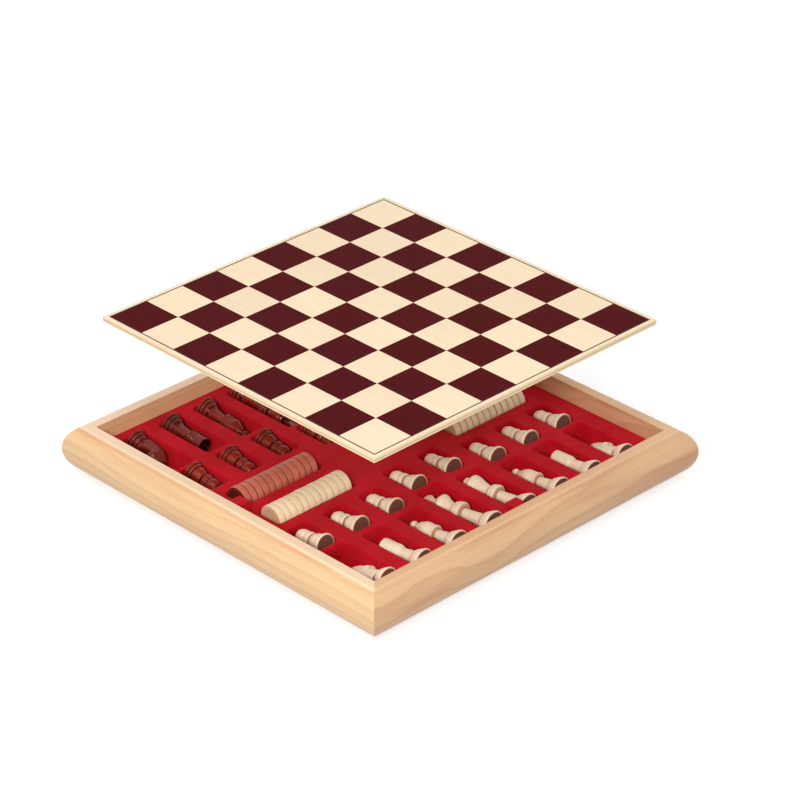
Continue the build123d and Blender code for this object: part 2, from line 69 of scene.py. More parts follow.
# ---- Sizes of the turned pieces, in millimetres ---------------------------------------------
DISC_DIAMETER = 25.0
DISC_THICKNESS = 6.8
DISC_GAP = 0.1
DISC_COUNT = 12
FELT_INSET = 1.5  # width of the wooden rim round the felt under a man
FELT_RECESS = 0.8  # depth of the recess that it lies in
FELT_SUNK = 0.2  # how far its face lies inside the recess
FELT_PLAY = 0.05
CROSS_THICKNESS = 3.2
HORSE_THICKNESS = 11.0
EAR_SPAN = 6.4  # thickness of the horse's head at its ears
KNIGHT_BASE = 22.0

# ---- Looks of the woods, in millimetres -----------------------------------------------------
RED_LINE_IN = (4.0, 2.2)  # depths under a rail's top over which its reddish line fades in
RED_LINE_OUT = (2.0, 1.0)  # and out again
TOP_HIGHLIGHT_IN = (1.4, 0.4)  # depths over which its painted highlight along the top fades in
PLY = 1.3  # thickness of one ply
PANEL_PLIES = 2.0  # height that the panel's plies are counted from, under all of the panel
TURNED_RING = 2.1  # width of a growth ring in a turned piece
DISC_LOT = 7.1  # how much of a row's length has one tone, about a disc

# ---- Camera, from the photograph's perspective, in millimetres and metres -------------------
LENS = 153.0
SENSOR = 36.0
CLIP = (0.05, 60.0)
CAMERA_AT = Vector((-1.75471, -1.82119, 1.49761))
CAMERA_BACK = Vector((-0.60869, -0.62313, 0.49113))

# ---- Lights and floor, in metres, watts and shares of white ---------------------------------
WHITE = (1.0, 1.0, 1.0, 1.0)
LAMPS = {
    "key": {"at": (-1.6, -1.1, 1.15), "size": 0.32, "power": 22.0},
    "top": {"at": (-0.7, -0.3, 2.1), "size": 0.8, "power": 8.0},
    "fill": {"at": (1.2, -1.4, 1.0), "size": 1.2, "power": 1.5},
}
LAMP_AIM = Vector((0.0, 0.0, 0.05))
WORLD_FILL = 0.66
FLOOR_HALF = 12.0  # half of its width
FLOOR_DROP = 0.0004  # how far it lies under the case, so that the two never share a plane
FLOOR_GLOW = 0.6


# ==== Materials ==============================================================================
COLOUR_A, COLOUR_B, COLOUR_OUT = 6, 7, 2  # the sockets of a Mix node that carry colours


def srgb(red, green, blue):
    """A colour given as 0 to 255 in sRGB, as the linear colour that Blender wants."""
    linear = []
    for value in (red, green, blue):
        share = value / 255
        low = share / 12.92
        high = ((share + 0.055) / 1.055) ** 2.4
        linear.append(low if share <= 0.04045 else high)
    return (*linear, 1.0)


class Maker:
    """Builds one material's node tree. Most methods add a node and return what it gives."""

    def __init__(self, name):
        self.material = bpy.data.materials.new(name)
        self.material.use_nodes = True
        self.tree = self.material.node_tree
        self.shader = self.tree.nodes["Principled BSDF"]
        self.place = self.add("ShaderNodeTexCoord").outputs["Object"]

    def add(self, kind, **settings):
        node = self.tree.nodes.new(kind)
        for name, value in settings.items():
            setattr(node, name, value)
        return node

    def feed(self, socket, value):
        """Links a socket to another one, or sets its own value."""
        if isinstance(value, bpy.types.NodeSocket):
            self.tree.links.new(value, socket)
        else:
            socket.default_value = value

    def math(self, operation, first, second=0.0, third=0.0):
        node = self.add("ShaderNodeMath", operation=operation)
        for socket, value in zip(node.inputs, (first, second, third)):
            self.feed(socket, value)
        return node.outputs[0]

    def product(self, first, *others):
        for other in others:
            first = self.math("MULTIPLY", first, other)
        return first

    def weighed(self, *parts):
        """The sum of some values, each given with its weight."""
        total = 0.0
        for value, weight in parts:
            total = self.math("MULTIPLY_ADD", value, weight, total)
        return total

    def vector(self, operation, first, second=(0.0, 0.0, 0.0)):
        node = self.add("ShaderNodeVectorMath", operation=operation)
        self.feed(node.inputs[0], first)
        self.feed(node.inputs[1], second)
        return node.outputs["Value" if operation == "LENGTH" else "Vector"]

    def split(self, vector):
        node = self.add("ShaderNodeSeparateXYZ")
        self.feed(node.inputs[0], vector)
        return node.outputs[0], node.outputs[1], node.outputs[2]

    def join(self, x, y, z):
        node = self.add("ShaderNodeCombineXYZ")
        for socket, value in zip(node.inputs, (x, y, z)):
            self.feed(socket, value)
        return node.outputs[0]

    def noise(self, vector, scale, detail, roughness=0.5, distortion=0.0):
        node = self.add("ShaderNodeTexNoise")
        self.feed(node.inputs["Vector"], vector)
        node.inputs["Scale"].default_value = scale
        node.inputs["Detail"].default_value = detail
        node.inputs["Roughness"].default_value = roughness
        node.inputs["Distortion"].default_value = distortion
        return node.outputs[0]

    def grain(self, place, spread, detail, roughness=0.5, distortion=0.0):
        """Noise that is stretched: spread is how often it changes per metre along each axis."""
        if isinstance(spread, float):
            spread = (spread, spread, spread)
        scaled = self.vector("MULTIPLY", place, spread)
        return self.noise(scaled, 1.0, detail, roughness, distortion)

    def chance(self, vector):
        """One random share for each place in a stepped vector."""
        node = self.add("ShaderNodeTexWhiteNoise", noise_dimensions="3D")
        self.feed(node.inputs["Vector"], vector)
        return node.outputs["Value"]

    def specks(self, spread):
        """Distance to the nearest of scattered points, spread of them to the metre."""
        node = self.add("ShaderNodeTexVoronoi")
        scaled = self.vector("MULTIPLY", self.place, (spread, spread, spread))
        self.feed(node.inputs["Vector"], scaled)
        node.inputs["Scale"].default_value = 1.0
        return node.outputs["Distance"]

    def fit(self, value, low, high, to_low=0.0, to_high=1.0, smooth=False):
        """A value from low to high as one from to_low to to_high, and no further."""
        kind = "SMOOTHSTEP" if smooth else "LINEAR"
        node = self.add("ShaderNodeMapRange", interpolation_type=kind, clamp=True)
        for socket, given in zip(node.inputs, (value, low, high, to_low, to_high)):
            self.feed(socket, given)
        return node.outputs[0]

    def between(self, share, low, high):
        """A share of 0 to 1 as a value from low to high."""
        return self.fit(share, 0.0, 1.0, low, high)

    def shade(self, noise, dark, light):
        """A brightness that follows a noise through its usual range."""
        return self.fit(noise, 0.3, 0.7, dark, light)

    def sway(self, noise, reach):
        """A noise as metres to either side, from its reach in millimetres."""
        return self.between(noise, -reach * MM, reach * MM)

    def rings(self, count, edge=0.86, power=1.0):
        """Growth rings. Each step of count darkens slowly and, from the share edge on, fades."""
        turn = self.math("FRACT", count)
        late = turn if power == 1.0 else self.math("POWER", turn, power)
        return self.product(late, self.fit(turn, edge, 1.0, 1.0, 0.0, smooth=True))

    def mix(self, share, first, second):
        node = self.add("ShaderNodeMix", data_type="RGBA")
        self.feed(node.inputs[0], share)
        self.feed(node.inputs[COLOUR_A], first)
        self.feed(node.inputs[COLOUR_B], second)
        return node.outputs[COLOUR_OUT]

    def tint(self, colour, brightness, hue=0.5):
        node = self.add("ShaderNodeHueSaturation")
        self.feed(node.inputs["Hue"], hue)
        self.feed(node.inputs["Value"], brightness)
        self.feed(node.inputs["Color"], colour)
        return node.outputs[0]

    def bump(self, height, depth, strength):
        """A normal from a height of 0 to 1 that stands for depth millimetres."""
        node = self.add("ShaderNodeBump")
        self.feed(node.inputs["Height"], height)
        node.inputs["Distance"].default_value = depth * MM
        node.inputs["Strength"].default_value = strength
        return node.outputs[0]

    def finish(self, colour, roughness, normal=None, **rest):
        """Feeds the shader. rest names more of its inputs, with _ for each space."""
        self.feed(self.shader.inputs["Base Color"], colour)
        self.feed(self.shader.inputs["Roughness"], roughness)
        if normal is not None:
            self.feed(self.shader.inputs["Normal"], normal)
        for name, value in rest.items():
            self.feed(self.shader.inputs[name.replace("_", " ")], value)
        return self.material


def under_top(depths):
    """Heights in metres from depths under the top of a rail."""
    return [(RAIL_TOP - depth) * MM for depth in depths]


# The fourth tone of a pine is a painted highlight along the top of the rail.
PineTones = namedtuple("PineTones", "pale late streak land seam")


def pine(name, axis, heart, spacing, shift, tones):
    """Flat-sawn pine. The rings run round a heart line that wanders beside the piece.

    heart is the line's place across and up, spacing the rings' width, both in millimetres, and
    shift moves the whole figure along, so that no two pieces have the same one.
    """
    m = Maker(name)
    x, y, z = m.split(m.place)
    along, across = (x, y) if axis == "X" else (y, x)
    moved = m.vector("ADD", m.place, (shift, 2.0 * shift, -shift))

    def streaks(lengthwise, crosswise, detail, roughness=0.5):
        spread = [crosswise, crosswise, crosswise]
        spread["XY".index(axis)] = lengthwise
        return m.grain(moved, spread, detail, roughness)

    wander = m.noise(m.join(m.math("ADD", along, shift), 0.0, shift), 5.0, 1.0)
    drift = m.noise(m.join(m.math("ADD", along, -shift), 7.0, shift), 4.0, 1.0)
    side = m.math("SUBTRACT", m.math("ABSOLUTE", across), heart[0] * MM)
    side = m.math("ADD", side, m.sway(wander, 40.0))
    rise = m.math("SUBTRACT", z, heart[1] * MM)
    rise = m.math("ADD", rise, m.sway(drift, 24.0))
    radius = m.vector("LENGTH", m.join(side, rise, 0.0))
    radius = m.math("ADD", radius, m.sway(streaks(9.0, 60.0, 3.0), 3.5))
    ring = m.rings(m.math("DIVIDE", radius, spacing * MM), edge=0.90, power=2.2)
    broad = streaks(6.0, 45.0, 2.0, 0.55)
    fibre = streaks(45.0, 1900.0, 3.0, 0.6)
    soft = streaks(16.0, 420.0, 2.0)
    canals = m.fit(streaks(230.0, 1500.0, 1.0), 0.70, 0.76, smooth=True)
    colour = m.mix(ring, tones.pale, tones.late)
    colour = m.mix(m.fit(broad, 0.46, 0.74, 0.0, 0.75, smooth=True), colour, tones.streak)
    shade = m.product(m.shade(fibre, 0.965, 1.03), m.shade(soft, 0.96, 1.03))
    colour = m.tint(colour, m.product(shade, m.between(canals, 1.0, 0.90)))
    # A reddish line a few millimetres under the top of the rail, patchy along it.
    seam = m.product(m.fit(z, *under_top(RED_LINE_IN)), m.fit(z, *under_top(RED_LINE_OUT), 1.0, 0.0))
    uneven = m.fit(broad, 0.35, 0.6, 0.2, 1.0, smooth=True)
    colour = m.mix(m.product(seam, uneven, 0.55), colour, tones.seam)
    # Painted highlight: from about 1.4 mm under the top upward, the colour turns partly toward
    # the pale top tone.
    colour = m.mix(m.fit(z, *under_top(TOP_HIGHLIGHT_IN), 0.0, 0.6, smooth=True), colour, tones.land)
    normal = m.bump(m.weighed((fibre, 0.5), (ring, 0.4), (canals, -0.8)), 0.06, 0.6)
    rough = m.fit(fibre, 0.2, 0.8, 0.40, 0.52)
    return m.finish(colour, rough, normal, Coat_Weight=0.12, Coat_Roughness=0.3)


def flock():
    """Short red nylon pile on the formed sheet: dull, soft and slightly brushed."""
    m = Maker("flock")
    brushed = m.grain(m.place, (26.0, 34.0, 30.0), 3.0, 0.6, 0.6)
    tufts = m.grain(m.place, 1500.0, 3.0, 0.7)
    pile = m.grain(m.place, 5200.0, 1.0)
    lint = m.fit(m.specks(70.0), 0.0, 0.028, 1.0, 0.0)
    colour = m.mix(m.fit(brushed, 0.35, 0.65, smooth=True), srgb(188, 12, 28), srgb(204, 18, 38))
    colour = m.tint(colour, m.shade(tufts, 0.90, 1.08))
    colour = m.mix(m.product(lint, 0.45), colour, srgb(214, 90, 92))
    return m.finish(
        colour,
        0.95,
        m.bump(m.weighed((tufts, 0.6), (pile, 0.4)), 0.35, 0.7),
        Sheen_Weight=0.35,
        Sheen_Roughness=0.45,
        Sheen_Tint=srgb(255, 120, 120),
        Specular_IOR_Level=0.1,
    )


def veneer(name, pale, dark, figure, pores, shine):
    """Sliced veneer, its grain along Y. Each square is a piece of its own, with its own tone.

    figure is how strong its bands are, and pores how far its pores darken it.
    """
    m = Maker(name)
    x, y, _ = m.split(m.place)
    column = m.math("FLOOR", m.math("DIVIDE", x, SQUARE * MM))
    rank = m.math("FLOOR", m.math("DIVIDE", y, SQUARE * MM))
    lot = m.chance(m.join(column, rank, 3.0))
    other = m.chance(m.join(rank, column, 11.0))
    jump = m.vector("MULTIPLY", m.join(lot, other, 0.0), (1.7, 1.3, 0.0))
    moved = m.vector("ADD", m.place, jump)
    cloud = m.grain(moved, (90.0, 7.0, 90.0), 3.0, 0.55, 0.4)
    bands = m.rings(m.math("MULTIPLY_ADD", cloud, 5.0, lot))
    fibre = m.grain(moved, (1700.0, 60.0, 60.0), 3.0, 0.6)
    pore = m.fit(m.grain(moved, (2600.0, 330.0, 60.0), 1.0), 0.62, 0.70, smooth=True)
    colour = m.mix(m.product(bands, figure), pale, dark)
    shade = m.product(m.shade(fibre, 0.97, 1.03), m.between(lot, 0.955, 1.02))
    shade = m.product(shade, m.between(pore, 1.0, 1.0 - pores))
    colour = m.tint(colour, shade, hue=m.between(other, 0.497, 0.503))
    normal = m.bump(m.weighed((fibre, 0.5), (pore, -1.0)), 0.03, 0.5)
    return m.finish(colour, 0.42, normal, Specular_IOR_Level=shine)


def plies(name, base):
    """Laminated wood. Its plies are counted up from base, and every other one is end-on.

    What lies at base or lower is a plain face. base is a height in millimetres.
    """
    m = Maker(name)
    _, _, z = m.split(m.place)
    depth = m.math("SUBTRACT", z, base * MM)
    ply = m.math("DIVIDE", depth, PLY * MM)
    odd = m.math("PINGPONG", m.math("FLOOR", ply), 1.0)
    lengthwise = m.grain(m.place, (30.0, 30.0, 2600.0), 3.0, 0.6)
    endwise = m.grain(m.place, (900.0, 900.0, 1500.0), 2.0, 0.6)
    ridge = m.fit(m.math("PINGPONG", ply, 0.5), 0.0, 0.10, 0.86, 1.0, smooth=True)
    shade = m.product(m.shade(lengthwise, 0.95, 1.04), ridge)
    shade = m.product(shade, m.shade(m.product(endwise, odd), 1.0, 0.92))
    edge = m.tint(m.mix(odd, srgb(244, 216, 176), srgb(226, 190, 146)), shade)
    figure = m.grain(m.place, (7.0, 60.0, 0.0), 3.0, 0.5, 0.8)
    bands = m.rings(m.product(figure, 7.0), edge=0.85)
    fibre = m.grain(m.place, (45.0, 1500.0, 1.0), 3.0, 0.6)
    face = m.mix(m.product(bands, 0.6), srgb(238, 208, 166), srgb(214, 172, 124))
    face = m.tint(face, m.shade(fibre, 0.94, 1.04))
    colour = m.mix(m.fit(depth, 0.10 * MM, 0.12 * MM, 1.0, 0.0), edge, face)
    return m.finish(colour, 0.6, m.bump(m.math("ADD", fibre, lengthwise), 0.04, 0.5))


def turned_wood(name, pale, late, shadow, groove_shade, rough, shine, coat, coat_rough, spread):
    """Wood of a turned piece that was made upright: its grain runs along its own Z.

    shadow is the tone of its darker patches, the colour after it the painted shade that its
    grooves get, and spread how much darker than the palest piece the darkest one is.
    """
    m = Maker(name)
    which = m.add("ShaderNodeObjectInfo").outputs["Random"]
    jump = m.vector("MULTIPLY", m.join(which, which, which), (9.0, 5.3, 3.1))
    moved = m.vector("ADD", m.place, jump)
    x, _, _ = m.split(m.place)
    bend = m.grain(moved, (30.0, 30.0, 14.0), 2.0)
    layer = m.math("ADD", x, m.sway(bend, 5.0))
    layer = m.math("ADD", layer, m.product(which, 0.3))
    ring = m.rings(m.math("DIVIDE", layer, TURNED_RING * MM), edge=0.85, power=2.0)
    fibre = m.grain(moved, (2200.0, 2200.0, 130.0), 3.0, 0.6)
    patch = m.grain(moved, (90.0, 90.0, 50.0), 3.0, 0.6)
    lines = m.grain(m.place, (60.0, 60.0, 5200.0), 1.0)
    groove = m.add("ShaderNodeAttribute", attribute_name="groove").outputs["Fac"]
    colour = m.mix(m.product(ring, 0.55), pale, late)
    colour = m.mix(m.fit(patch, 0.42, 0.72, 0.0, 0.5, smooth=True), colour, shadow)
    # Painted shade: the deeper a point lies in a groove, the nearer its colour comes to the
    # groove colour.
    colour = m.mix(m.fit(groove, 0.1, 1.0, 0.0, 0.85), colour, groove_shade)
    shade = m.product(m.shade(fibre, 0.95, 1.04), m.between(which, 1.0 - spread, 1.0))
    return m.finish(
        m.tint(colour, shade),
        rough,
        m.bump(m.weighed((fibre, 0.6), (lines, 0.4)), 0.03, 0.6),
        Specular_IOR_Level=shine,
        Coat_Weight=coat,
        Coat_Roughness=coat_rough,
    )


def disc_wood(name, pale, late, face, rough, spread):
    """Turned discs on edge along X. Each one is cut from another piece of wood.

    face is the tone of their flat sides, and spread how far their tones differ.
    """
    m = Maker(name)
    x, y, z = m.split(m.place)
    which = m.chance(m.join(m.math("FLOOR", m.math("DIVIDE", x, DISC_LOT * MM)), 2.0, 5.0))
    jump = m.vector("MULTIPLY", m.join(which, which, which), (0.0, 3.1, 1.7))
    moved = m.vector("ADD", m.place, jump)
    figure = m.grain(moved, (60.0, 160.0, 40.0), 3.0, 0.55, 0.3)
    band = m.rings(m.product(figure, 6.0))
    fibre = m.grain(moved, (700.0, 2400.0, 700.0), 3.0, 0.6)
    outward = m.vector("LENGTH", m.join(0.0, y, z))
    rim = [(DISC_DIAMETER / 2 - inset) * MM for inset in (0.7, 0.1)]
    colour = m.mix(m.product(band, 0.22), pale, late)
    colour = m.mix(m.fit(outward, *rim, 1.0, 0.0, smooth=True), colour, face)
    shade = m.product(m.shade(fibre, 0.94, 1.05), m.between(which, 1.0 - spread, 1.0))
    normal = m.bump(fibre, 0.04, 0.6)
    return m.finish(m.tint(colour, shade), rough, normal, Coat_Weight=0.1, Coat_Roughness=0.35)


def felt():
    """Brown wool felt under the men."""
    m = Maker("felt")
    wool = m.grain(m.place, 1900.0, 4.0, 0.7)
    colour = m.mix(m.fit(wool, 0.3, 0.7), srgb(92, 42, 20), srgb(122, 60, 32))
    return m.finish(colour, 0.95, m.bump(wool, 0.3, 0.8), Sheen_Weight=0.25)


def stringing():
    """The thin dark line inlaid round the squares."""
    m = Maker("stringing")
    fibre = m.grain(m.place, 500.0, 3.0, 0.6)
    colour = m.mix(fibre, srgb(52, 26, 14), srgb(74, 42, 26))
    return m.finish(colour, 0.45, Specular_IOR_Level=0.15)


# ==== Outlines and turned surfaces ===========================================================
ARC_STEP = 0.45  # longest piece of a rounded stretch, millimetres
EASE = 0.28  # rounding of a turned corner, millimetres
EASE_SHARE = 0.45  # the most of a short stretch that its rounding takes
EASE_BOW = 0.27  # place of its middle point: 0 is the corner and 0.5 is on the chord
EASE_UP_TO = radians(155)  # wider corners stay as they are
TOUCHING = 1e-6
SEGMENTS = 48  # round a turned piece
ON_AXIS = 0.01  # a ring with a smaller radius, in millimetres, is a single point
GROOVE_REACH = 1.6  # what stands out within this height shadows a point, millimetres
GROOVE_FADE = 0.5  # and counts less by this share of its distance
GROOVE_FULL = 0.8  # depth at which the painted shade in a groove is full, millimetres
SHARP = 34  # degrees between faces, from which an edge is shown sharp
DISC_SHARP = 30
HORSE_SHARP = 60


def bowed(start, end, bulge):
    """Points after start, up to end, on an arc that bows out by bulge."""
    run = (end[0] - start[0], end[1] - start[1])
    length = hypot(*run)
    if not bulge or not length:
        return [end]
    radius = (length * length / 4 + bulge * bulge) / (2 * abs(bulge))
    half = atan2(length / 2, radius - abs(bulge))
    count = max(2, round(2 * half * radius / ARC_STEP))
    out = (run[1] / length, -run[0] / length)
    side = 1 if bulge > 0 else -1
    points = []
    for n in range(1, count + 1):
        angle = half * (2 * n / count - 1)
        along = 0.5 + radius * sin(angle) / length
        off = side * (radius * cos(angle) - radius + abs(bulge))
        points.append((
            start[0] + run[0] * along + out[0] * off,
            start[1] + run[1] * along + out[1] * off,
        ))
    return points


def outline(ends):
    """Points of an outline. Each end has its two places and the bulge of the stretch up to it."""
    points = [ends[0][:2]]
    for across, up, bulge in ends[1:]:
        points += bowed(points[-1], (across, up), bulge)
    return points


def eased(points):
    """The outline with its corners rounded a little, as sanding leaves them."""
    soft = [points[0]]
    for before, here, after in zip(points, points[1:], points[2:]):
        corner = Vector(here)
        first = Vector(before) - corner
        second = Vector(after) - corner
        short = min(first.length, second.length) < TOUCHING
        if short or first.angle(second) > EASE_UP_TO:
            soft.append(here)
            continue
        first *= min(EASE, first.length * EASE_SHARE) / first.length
        second *= min(EASE, second.length * EASE_SHARE) / second.length
        for away in (first, (first + second) * EASE_BOW, second):
            soft.append(tuple(corner + away))
    return soft + [points[-1]]


def groove_depth(radius, height, points):
    """How deep a point of an outline lies beside what stands out near it, from 0 to 1. It sets
    the point's painted shade.
    """
    near = []
    for other, level in points:
        away = abs(level - height)
        if away < GROOVE_REACH:
            near.append((other - radius) - GROOVE_FADE * away)
    return min(1.0, max(near) / GROOVE_FULL)


def lathe(shape, points, material=0, wave=None):
    """Adds a turned surface to a bmesh: rings round Z through the outline's points.

    wave gives how far the surface is lifted at a height and an angle.
    """
    layers = shape.verts.layers.float
    groove = layers.get("groove") or layers.new("groove")
    rings = []
    for radius, height in points:
        # How deep the point lies in a groove, kept for the painted shade there
        depth = groove_depth(radius, height, points)
        ring = []
        for n in range(1 if radius < ON_AXIS else SEGMENTS):
            angle = 2 * pi * n / SEGMENTS
            lift = wave(height, angle) if wave else 0.0
            at = (radius * cos(angle), radius * sin(angle), height + lift)
            ring.append(shape.verts.new(at))
            ring[-1][groove] = depth
        rings.append(ring)
    for low, high in zip(rings, rings[1:]):
        for n in range(SEGMENTS):
            corners = [low[n % len(low)], low[(n + 1) % len(low)]]
            corners += [high[(n + 1) % len(high)], high[n % len(high)]]
            corners = list(dict.fromkeys(corners))
            if len(corners) > 2:
                shape.faces.new(corners).material_index = material


def made(name, shape, sharp=SHARP):
    """A mesh in metres from a bmesh in millimetres, smooth but for its sharp edges."""
    bmesh.ops.scale(shape, vec=(MM, MM, MM), verts=shape.verts)
    bmesh.ops.recalc_face_normals(shape, faces=shape.faces)
    mesh = bpy.data.meshes.new(name)
    shape.to_mesh(mesh)
    shape.free()
    mesh.shade_smooth()
    mesh.set_sharp_from_angle(angle=radians(sharp))
    return mesh


def cut(mesh, tool):
    """The mesh with another one cut out of it."""
    body = bpy.data.objects.new("body", mesh)
    knife = bpy.data.objects.new("knife", tool)
    for each in (body, knife):
        bpy.context.scene.collection.objects.link(each)
    away = body.modifiers.new("cut", "BOOLEAN")
    away.object = knife
    away.operation = "DIFFERENCE"
    away.solver = "EXACT"
    result = bpy.data.meshes.new_from_object(
        body.evaluated_get(bpy.context.evaluated_depsgraph_get())
    )
    result.name = mesh.name
    for each in (body, knife):
        bpy.data.objects.remove(each)
    result.set_sharp_from_angle(angle=radians(SHARP))
    return result


def slab(shape, corners, thickness, rounding):
    """Adds a flat outline in XZ, thickened along Y, with its rims rounded over."""
    verts = [shape.verts.new((x, -thickness / 2, z)) for x, z in corners]
    face = shape.faces.new(verts)
    grown = bmesh.ops.extrude_face_region(shape, geom=[face])["geom"]
    moved = [each for each in grown if isinstance(each, bmesh.types.BMVert)]
    bmesh.ops.translate(shape, vec=(0, thickness, 0), verts=moved)
    flats = (set(verts), set(moved))
    rims = [edge for edge in shape.edges if any(set(edge.verts) <= flat for flat in flats)]
    bmesh.ops.bevel(shape, geom=rims, offset=rounding, segments=3, affect="EDGES", profile=0.5)


# ==== Chessmen ===============================================================================
# Every foot is turned alike: inset from the base's edge, height and bulge, in millimetres.
FOOT = [
    (0.0, 0.6, 0),
    (0.0, 1.7, 0),
    (0.6, 2.6, 0.16),
    (1.3, 2.7, 0),
    (1.0, 3.1, 0),
    (1.2, 4.9, 0.12),
    (2.0, 5.7, 0.20),
    (2.6, 5.8, 0),
    (2.4, 6.3, 0),
    (2.8, 8.2, 0.16),
    (3.8, 9.3, 0.26),
]
PAWN_FOOT = FOOT[:9]
# The rest of each man: shares of the base's radius and of the height, and the bulge as a share
# of the radius.
KING = [
    (0.45, 0.240, -0.070),
    (0.38, 0.435, -0.010),
    (0.40, 0.443, 0),
    (0.68, 0.447, 0),
    (0.73, 0.474, 0.030),
    (0.70, 0.506, 0.020),
    (0.62, 0.512, 0),
    (0.66, 0.520, 0),
    (0.60, 0.550, 0.030),
    (0.48, 0.556, 0),
    (0.50, 0.564, 0),
    (0.44, 0.584, 0.020),
    (0.43, 0.604, 0),
    (0.67, 0.716, -0.030),
    (0.72, 0.734, 0),
    (0.71, 0.762, 0.020),
    (0.62, 0.774, 0),
    (0.36, 0.812, 0.050),
    (0.29, 0.818, 0),
    (0.25, 0.836, -0.010),
    (0.00, 0.836, 0),
]
QUEEN = [
    (0.46, 0.255, -0.070),
    (0.40, 0.455, -0.010),
    (0.42, 0.464, 0),
    (0.66, 0.468, 0),
    (0.71, 0.496, 0.030),
    (0.68, 0.526, 0.020),
    (0.61, 0.533, 0),
    (0.64, 0.541, 0),
    (0.58, 0.572, 0.030),
    (0.47, 0.578, 0),
    (0.49, 0.588, 0),
    (0.44, 0.610, 0.020),
    (0.43, 0.635, 0),
    (0.67, 0.785, -0.020),
    (0.74, 0.845, 0.010),
    (0.72, 0.876, 0.025),
    (0.62, 0.890, 0),
    (0.40, 0.914, 0.030),
    (0.34, 0.920, 0),
    (0.38, 0.928, 0),
    (0.38, 0.958, 0.020),
    (0.33, 0.964, 0),
    (0.26, 0.992, 0.050),
    (0.00, 1.000, 0.030),
]
BISHOP = [
    (0.47, 0.290, -0.050),
    (0.41, 0.462, -0.010),
    (0.43, 0.470, 0),
    (0.63, 0.474, 0),
    (0.67, 0.500, 0.025),
    (0.65, 0.528, 0.010),
    (0.59, 0.534, 0),
    (0.63, 0.542, 0),
    (0.66, 0.580, 0.010),
    (0.60, 0.588, 0),
    (0.64, 0.596, 0),
    (0.67, 0.660, 0.020),
    (0.61, 0.725, 0.025),
    (0.33, 0.852, 0.020),
    (0.23, 0.880, -0.015),
    (0.22, 0.892, 0),
    (0.29, 0.906, 0),
    (0.31, 0.962, 0.050),
    (0.00, 1.000, 0.070),
]
ROOK = [
    (0.50, 0.370, -0.050),
    (0.45, 0.520, -0.010),
    (0.46, 0.545, 0),
    (0.58, 0.605, 0.020),
    (0.62, 0.640, 0.010),
    (0.56, 0.650, 0),
    (0.60, 0.664, 0),
    (0.62, 0.730, 0.010),
    (0.57, 0.742, 0),
    (0.62, 0.758, 0),
    (0.67, 0.975, 0.010),
    (0.65, 1.000, 0.010),
    (0.55, 1.000, 0),
    (0.49, 0.900, 0.010),
    (0.00, 0.888, 0),
]
PAWN = [
    (0.76, 0.230, 0.020),
    (0.66, 0.370, 0.040),
    (0.48, 0.446, 0.050),
    (0.41, 0.470, 0),
    (0.43, 0.482, 0),
    (0.60, 0.500, 0.010),
    (0.66, 0.555, 0.030),
    (0.62, 0.640, 0.020),
    (0.52, 0.664, 0.010),
    (0.58, 0.682, 0),
    (0.65, 0.760, 0.030),
    (0.61, 0.880, 0.040),
    (0.40, 0.970, 0.060),
    (0.00, 1.000, 0.040),
]
KNIGHT = [
    (0.60, 0.240, -0.020),
    (0.58, 0.270, 0),
    (0.00, 0.270, 0),
]
# The horse's head above it: shares of the base's radius and of the height, and the bulge in
# millimetres. Both outlines end at the tip of the ears.
HORSE_FRONT = [
    (0.72, 0.235, 0),
    (0.30, 0.460, -1.1),
    (0.24, 0.550, -0.3),
    (0.44, 0.575, 0.3),
    (0.66, 0.540, 0.2),
    (0.84, 0.575, 0.5),
    (0.82, 0.650, 0.5),
    (0.46, 0.775, -0.3),
    (0.20, 0.880, 0.3),
    (-0.02, 0.925, 0),
    (-0.10, 1.000, 0.2),
]
HORSE_BACK = [
    (-0.74, 0.235, 0),
    (-0.80, 0.580, -1.0),
    (-0.44, 0.880, -1.6),
    (-0.26, 0.935, 0.2),
    (-0.10, 1.000, -0.3),
]
# Half of the king's cross: how far out, and how far under its top, in millimetres.
CROSS = [
    (2.3, 8.6),
    (2.8, 7.2),
    (4.4, 5.0),
    (4.8, 4.2),
    (4.8, 1.8),
    (3.7, 1.5),
    (3.4, 0.0),
]
# Spots on the side of the horse's head: where they are, as shares of the base's radius and of
# the height, and then their radius and how far they stand out, in millimetres.
CARVED = [
    (0.20, 0.625, 4.2, 0.9),  # cheek
    (0.24, 0.765, 2.1, -0.9),  # hollow round the eye
    (0.24, 0.765, 1.1, 0.9),  # eye
    (0.72, 0.645, 1.0, -0.6),  # nostril
]
RIM_LIFT = 0.1  # how far the rim under a foot rises toward its two edges, millimetres
RIM_INSIDE = 0.2  # its lowest ring is this far out from the recess
RIM_OUTSIDE = 0.5  # and it turns up this far in from the base's edge
FELT_EDGE = (0.3, 0.25)  # width and height of the felt's slanting edge, millimetres
CROSS_FOOT = 0.79  # where the cross starts inside the crown, as a share of the king's height
CROSS_ROUNDING = 0.6
BRIM = 0.85  # middle of the queen's scalloped brim, as a share of the height
BRIM_REACH = 0.035  # how far above and below it the scallops fade
SCALLOPS = 9
SCALLOP_DEPTH = 0.55  # millimetres
SAW_CUT = 1.1  # width of the cut in a bishop's mitre, millimetres
SAW_AT = 0.73  # its height as a share of the bishop's
SAW_SLANT = 35  # degrees
SAW_STOP = 0.4  # distance from the axis at which it stops, millimetres
HORSE_LAYERS = 72
HORSE_ACROSS = 26
HORSE_ROUNDING = 3.2  # how far in from its outline the head is rounded over, millimetres
HORSE_ROUNDNESS = 2.4
HORSE_PLAIN = 0.3  # rim along the outline that is not carved, millimetres
WELD = 0.002  # points of its two halves that are nearer than this become one, millimetres
MANE_FROM = 0.34  # share of the height
MANE_WIDTH = 4.4  # millimetres
MANE_LINE = 5.2  # where the groove beside the mane ends
MANE_LINE_DEPTH = 0.35
LOCK_WIDTH = 2.7
